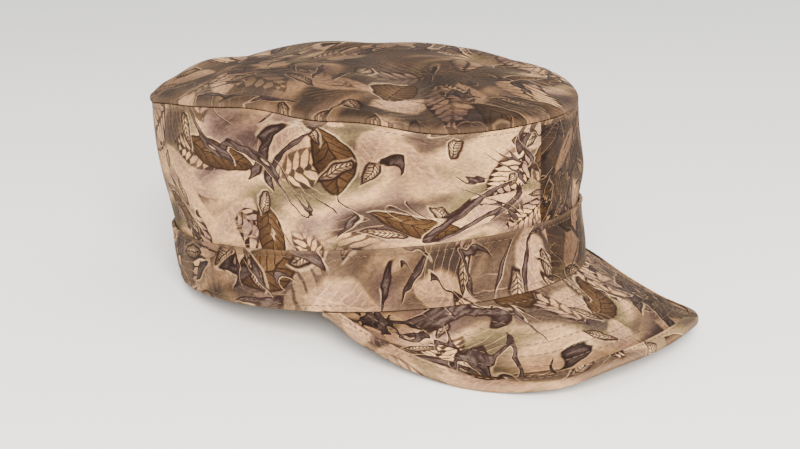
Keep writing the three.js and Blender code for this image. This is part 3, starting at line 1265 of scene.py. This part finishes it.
    def stitches(self, material: bpy.types.Material) -> None:
        """Sews the row under the top seam."""
        wall_height = FORM.crown_height - FORM.band_height
        seam = Stitching("top_seam_stitches")
        level_share = self.stitch_drop / wall_height * self.wall_rows / (self.band_rows + self.wall_rows)
        for side in Side:
            start = (self.stitch_margin, 1 - level_share)
            seam.sew(self.wall_surface(side, 1), start, (1 - self.stitch_margin, 1 - level_share))
        keep(seam.build(material))

    def build(self, finishes: "Finishes") -> None:
        """Builds the whole crown."""
        self.top([finishes.top, finishes.reverse])
        for side in Side:
            self.wall(side, [finishes.walls[side], finishes.reverse])
        self.stitches(finishes.thread)


@dataclass
class Band:
    """The band: a doubled strip round the lower edge in two halves, sewn near its top and lower edges."""

    cloth: float = 1.6
    columns: int = 240
    rows: int = 22
    stitch_inset: float = 2.4
    groove: float = 0.35
    bulge: float = 0.4
    edge_flare: float = 0.6
    groove_width: float = 1.0
    gathers: float = 0.22
    gather_reach: float = 5.0
    flare_reach: float = 3.0
    sway: float = 0.5
    edge_wave: float = 0.3
    edge_radius: float = 0.6
    stitch_margin: float = 0.004
    fade: float = 0.35
    fade_width: float = 1.2

    def surface(self, side: Side, through: float) -> Place:
        """Returns one face of a band half, by shares along it and up it."""

        def place(along: float, across: float) -> Vector:
            from_front = math.pi * (1 - along if side is Side.RIGHT else along)
            angle = side.value * from_front
            arc = angle * FORM.mean_radius
            height = across * FORM.band_height
            from_top = FORM.band_height - height
            ends = min(from_front, math.pi - from_front) * FORM.mean_radius
            sewn = sum(hill(gap - self.stitch_inset, self.groove_width) for gap in (height, from_top))
            near_edges = math.exp(-height / self.gather_reach) + math.exp(-from_top / self.gather_reach)
            inset = self.cloth * (1 - through)
            if through > 0.5:
                inset += self.groove * sewn - self.bulge * math.sin(math.pi * across) ** 2
                inset -= self.gathers * soft_wave(arc, 7.0, 8.4) * near_edges
                inset += SEAM_PULL * math.exp(-ends / SEAM_PULL_REACH)
            flare = 0.5 + 0.5 * soft_wave(arc, 31.0, 2.7)
            inset -= self.edge_flare * flare * math.exp(-from_top / self.flare_reach)
            inset -= self.sway * soft_wave(arc, 44.0, 6.1) * math.sin(math.pi * across)
            point = FORM.side_point(angle, across, inset)
            point.z += self.edge_wave * soft_wave(arc, 37.0, 9.9) * smooth_step(across, 0.6, 1)
            return point

        return place

    def build(self, finishes: "Finishes") -> None:
        """Builds both halves and their stitches."""
        hem = Stitching("band_stitches")
        inset_share = self.stitch_inset / FORM.band_height
        for side in Side:
            name = f"band_{side.name.lower()}"
            body = ClothBody(
                name=f"{name}_cloth", columns=self.columns, rows=self.rows,
                outer=self.surface(side, 1), inner=self.surface(side, 0),
                flat=lambda along, across: (along * math.pi * FORM.mean_radius, across * FORM.band_height),
                fade=lambda along, across: self.fade * sum(
                    hill(share * FORM.band_height, self.fade_width) for share in (1 - across, across)
                ),
                edge_radius=self.edge_radius,
            )
            keep(body.build([finishes.band, finishes.band]), name)
            for across in (inset_share, 1 - inset_share):
                hem.sew(self.surface(side, 1), (self.stitch_margin, across), (1 - self.stitch_margin, across))
        keep(hem.build(finishes.thread))


@dataclass(frozen=True)
class Peak:
    """The peak: a stiff board in cloth, sewn through in rows, with a strip folded round its edge."""

    board: float = 2.0
    tuck: float = 3.0
    columns: int = 260
    rows: int = 84
    row_spacing: float = 6.0
    first_row: float = 10.0
    groove: float = 0.3
    groove_width: float = 1.0
    strip_cloth: float = 0.55
    strip_width: float = 3.4
    strip_columns: int = 320
    strip_rows: int = 32
    thinned_end: float = 0.35
    strip_row_inset: float = 1.1
    strip_groove: float = 0.25
    strip_groove_width: float = 0.9
    strip_gathers: float = 0.12
    strip_edge_radius: float = 0.35
    strip_stitch_margin: float = 0.03
    unevenness: float = 0.18
    uneven_length: float = 9.0
    row_end: float = 0.97
    row_stop: float = 0.03
    row_steps: int = 240
    fewest_steps: int = 8
    half_round: float = 150.0
    flat_length: float = 250.0
    strip_flat: tuple[float, float] = (300.0, 15.0)

    def thickness_share(self, along: float) -> float:
        """Returns how thick the peak is there: its layers are pressed flat towards its ends."""
        return lerp(1.0, self.thinned_end, smooth_step(abs(along), 0.86, 1.0))

    @lru_cache(maxsize=4096)
    def span(self, along: float) -> float:
        """Returns the distance from the band to the peak's edge, along the floor of the cap's own frame."""
        edge = FORM.peak_point(along, 1)
        sewn = FORM.peak_point(along, 0)
        return math.hypot(edge.x - sewn.x, edge.y - sewn.y)

    def surface(self, through: float) -> Place:
        """Returns the upper or the lower face of the peak."""
        sign = 1 if through > 0.5 else -1

        def place(along: float, across: float) -> Vector:
            bearing = 2 * along - 1
            row = across * (self.rows + 1)
            reach = max(0.0, 1 - row / self.rows)
            point = FORM.peak_point(bearing, reach)
            from_edge = (1 - reach) * self.span(bearing)
            if row > self.rows + 0.5:
                tucked = FORM.side_point(bearing * math.radians(FORM.peak_sewn_angle), 0, self.tuck)
                point.x = tucked.x
                point.y = tucked.y
            beyond = from_edge - self.first_row
            phase = (beyond + self.row_spacing / 2) % self.row_spacing - self.row_spacing / 2
            quilt = 0.0
            if beyond > -self.row_spacing / 2:
                quilt = -self.groove * hill(phase, self.groove_width)
            soft = self.unevenness * noise.noise(Vector((*(point.xy / self.uneven_length), 4.0)))
            point.z -= self.board * (1 - through) * self.thickness_share(bearing)
            point.z += sign * (quilt + soft) * smooth_step(reach, 0.0, 0.06)
            return point

        return place

    def strip_surface(self, through: float) -> Place:
        """Returns the outer or inner face of the strip folded round the edge."""

        def place(along: float, across: float) -> Vector:
            bearing = 2 * along - 1
            share = self.thickness_share(bearing)
            half_board = self.board * share / 2
            edge = FORM.peak_point(bearing, 1)
            sewn = FORM.peak_point(bearing, 0)
            span = math.hypot(edge.x - sewn.x, edge.y - sewn.y)
            leg = min(self.strip_width, span - 2 * FORM.air_gap)
            arc = bearing * self.half_round
            lift = half_board + FORM.air_gap + self.strip_cloth * share * through
            quarter = max(-1.0, min(1.0, 4 * across - 2))
            turn = quarter * math.pi / 2
            inward = leg * (abs(4 * across - 2) - abs(quarter))
            if through > 0.5:
                pressed = hill(leg - inward - self.strip_row_inset, self.strip_groove_width)
                lift -= self.strip_groove * pressed * smooth_step(inward, 0, 1)
                lift += self.strip_gathers * soft_wave(arc, 6.0, 7.7) * smooth_step(inward, 0, leg)
            outward = (lift - half_board) * math.cos(turn) / span
            foot = FORM.peak_point(bearing, 1 - inward / span)
            foot.x += (edge.x - sewn.x) * outward
            foot.y += (edge.y - sewn.y) * outward
            foot.z += lift * math.sin(turn) - half_board
            return foot

        return place

    def stitches(self, material: bpy.types.Material) -> None:
        """Sews the rows across the peak and the row that holds the strip."""
        quilting = Stitching("peak_stitches", pitch=3.2)
        place = self.surface(1)
        distance = self.first_row
        while distance < FORM.peak_reach:
            track = []
            for step in range(self.row_steps + 1):
                bearing = lerp(-self.row_end, self.row_end, step / self.row_steps)
                reach = 1 - distance / self.span(bearing)
                if reach > self.row_stop:
                    track.append(((bearing + 1) / 2, (1 - reach) * self.rows / (self.rows + 1)))
            if len(track) > self.fewest_steps:
                quilting.sew_track(place, track)
            distance += self.row_spacing
        strip = Stitching("peak_edge_stitches", pitch=3.0)
        leg_share = self.strip_row_inset / self.strip_width / 4
        for across in (1 - leg_share, leg_share):
            start = (self.strip_stitch_margin, across)
            strip.sew(self.strip_surface(1), start, (1 - self.strip_stitch_margin, across))
        keep(quilting.build(material))
        keep(strip.build(material))

    def build(self, finishes: "Finishes") -> None:
        """Builds the peak, its strip and its stitches."""
        span = FORM.peak_reach + self.tuck
        body = ClothBody(
            name="peak_cloth", columns=self.columns, rows=self.rows + 1,
            outer=self.surface(1), inner=self.surface(0),
            flat=lambda along, across: (along * self.flat_length, across * span),
            fade=lambda along, across: 0.0,
            edge_radius=0.0,
        )
        keep(body.build([finishes.peak, finishes.peak]), "peak")
        strip = ClothBody(
            name="peak_strip", columns=self.strip_columns, rows=self.strip_rows,
            outer=self.strip_surface(1), inner=self.strip_surface(0),
            flat=lambda along, across: (along * self.strip_flat[0], across * self.strip_flat[1]),
            fade=lambda along, across: 0.8 * hill(across - 0.5, 0.12),
            edge_radius=self.strip_edge_radius,
        )
        keep(strip.build([finishes.strip, finishes.strip]), "peak_binding")
        self.stitches(finishes.thread)


class Finishes:
    """The finishes of the cap, each built once."""

    def __init__(self) -> None:
        """Builds the finishes."""
        # The top's higher gloom darkens its print partly as painted shade, for the dimmer light on its upward
        # face
        self.top = PrintedCotton("printed_twill_top", (140, 60), 12, print_and_shade_gloom=0.17, thicket=0.03).build()
        self.walls = {
            Side.RIGHT: PrintedCotton("printed_twill_wall_right", (420, 260), print_and_shade_gloom=-0.05).build(),
            Side.LEFT: PrintedCotton(
                "printed_twill_wall_left", (40, 910), 75, print_and_shade_gloom=0.22, thicket=0.1,
            ).build(),
        }
        self.band = PrintedCotton("printed_twill_band", (760, 90), -8, print_and_shade_gloom=0.17, thicket=0.06).build()
        self.peak = PrintedCotton("printed_twill_peak", (90, 640), 20, print_and_shade_gloom=0.1, thicket=0.04).build()
        self.strip = PrintedCotton("printed_twill_strip", (330, 820), 45, print_and_shade_gloom=0.02, thicket=-0.2).build()
        self.reverse = PlainCloth().build()
        self.thread = SewingThread().build()


@dataclass(frozen=True)
class AreaLight:
    """A square soft light, placed round the cap by azimuth, elevation and distance."""

    name: str
    azimuth: float
    elevation: float
    distance: float
    size: float
    watts: float
    colour: str = "FFFFFF"

    def build(self, target: Vector) -> None:
        """Adds the light, aimed at the target."""
        data = bpy.data.lights.new(self.name, "AREA")
        data.shape = "SQUARE"
        data.size = self.size
        data.energy = self.watts
        data.color = linear_colour(self.colour)[:3]
        light = bpy.data.objects.new(self.name, data)
        bpy.context.scene.collection.objects.link(light)
        back = bearing_vector(self.azimuth, self.elevation)
        light.location = target + back * self.distance
        light.rotation_euler = back.to_track_quat("Z", "Y").to_euler()


LIGHTS = (
    AreaLight("key", -44, 30, 1.6, 0.9, 97, "FFF8F0"),
    AreaLight("fill", -110, 25, 2.0, 1.2, 4, "F3F6FF"),
    AreaLight("above", 20, 75, 1.8, 1.2, 7, "FFFFFF"),
    AreaLight("beside", 84, 26, 2.2, 1.8, 18, "F6F8FF"),
)


def bearing_vector(azimuth: float, elevation: float) -> Vector:
    """Returns the unit vector from the cap towards an azimuth and elevation in degrees."""
    a = math.radians(azimuth)
    e = math.radians(elevation)
    return Vector((math.sin(a) * math.cos(e), -math.cos(a) * math.cos(e), math.sin(e)))


@dataclass(frozen=True)
class Studio:
    """Pale floor, soft light and the camera at the photograph's angle."""

    azimuth: float = -47.97
    elevation: float = 14.73
    roll: float = -0.76
    distance: float = 0.6498
    focal_pixels: float = 1404.8
    image_width: float = 800.0
    image_height: float = 449.0
    aim: tuple[float, float, float] = (-0.00011, 0.0187, 0.05341)
    aim_pixel: tuple[float, float] = (380.28, 174.37)
    sensor: float = 36.0
    floor_size: float = 12.0
    floor_colour: str = "F4F2EF"
    floor_roughness: float = 0.9
    world_colour: str = "F2F4F7"
    world_strength: float = 0.95

    def camera(self) -> None:
        """Adds the camera, turned so that the aimed point lies at its pixel of the picture."""
        data = bpy.data.cameras.new("camera")
        data.sensor_width = self.sensor
        data.lens = self.focal_pixels / self.image_width * self.sensor
        data.clip_start = 0.01
        back = bearing_vector(self.azimuth, self.elevation)
        a = math.radians(self.azimuth)
        right = Vector((math.cos(a), math.sin(a), 0))
        upright = Matrix((right, back.cross(right), back))
        yaw = math.atan((self.aim_pixel[0] - self.image_width / 2) / self.focal_pixels)
        pitch = math.atan((self.image_height / 2 - self.aim_pixel[1]) / self.focal_pixels)
        turned = Matrix.Rotation(math.radians(self.roll), 3, "Z") @ Matrix.Rotation(pitch, 3, "X")
        turned = turned @ Matrix.Rotation(-yaw, 3, "Y") @ upright
        camera = bpy.data.objects.new("camera", data)
        bpy.context.scene.collection.objects.link(camera)
        placed = turned.transposed().to_4x4()
        placed.translation = Vector(self.aim) + back * self.distance
        camera.matrix_world = placed
        bpy.context.scene.camera = camera

    def floor(self) -> None:
        """Adds the floor, a pale matt surface."""
        bm = bmesh.new()
        bmesh.ops.create_grid(bm, x_segments=1, y_segments=1, size=self.floor_size / 2)
        material = bpy.data.materials.new("matt_paper")
        material.use_nodes = True
        shader = material.node_tree.nodes["Principled BSDF"]
        shader.inputs["Base Color"].default_value = linear_colour(self.floor_colour)
        shader.inputs["Roughness"].default_value = self.floor_roughness
        floor = finished_object("floor", bm, [material])

    def lights(self) -> None:
        """Adds the world's even light and the soft lights."""
        world = bpy.data.worlds.new("studio")
        bpy.context.scene.world = world
        world.use_nodes = True
        background = world.node_tree.nodes["Background"]
        background.inputs["Color"].default_value = linear_colour(self.world_colour)
        background.inputs["Strength"].default_value = self.world_strength
        for light in LIGHTS:
            light.build(Vector(self.aim))

    def build(self) -> None:
        """Builds the studio."""
        self.camera()
        self.floor()
        self.lights()


def main() -> None:
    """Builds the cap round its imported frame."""
    logging.basicConfig(level=logging.INFO, format="%(name)s: %(message)s")
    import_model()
    Studio().build()
    finishes = Finishes()
    Crown().build(finishes)
    Band().build(finishes)
    Peak().build(finishes)


if __name__ == "__main__":
    main()
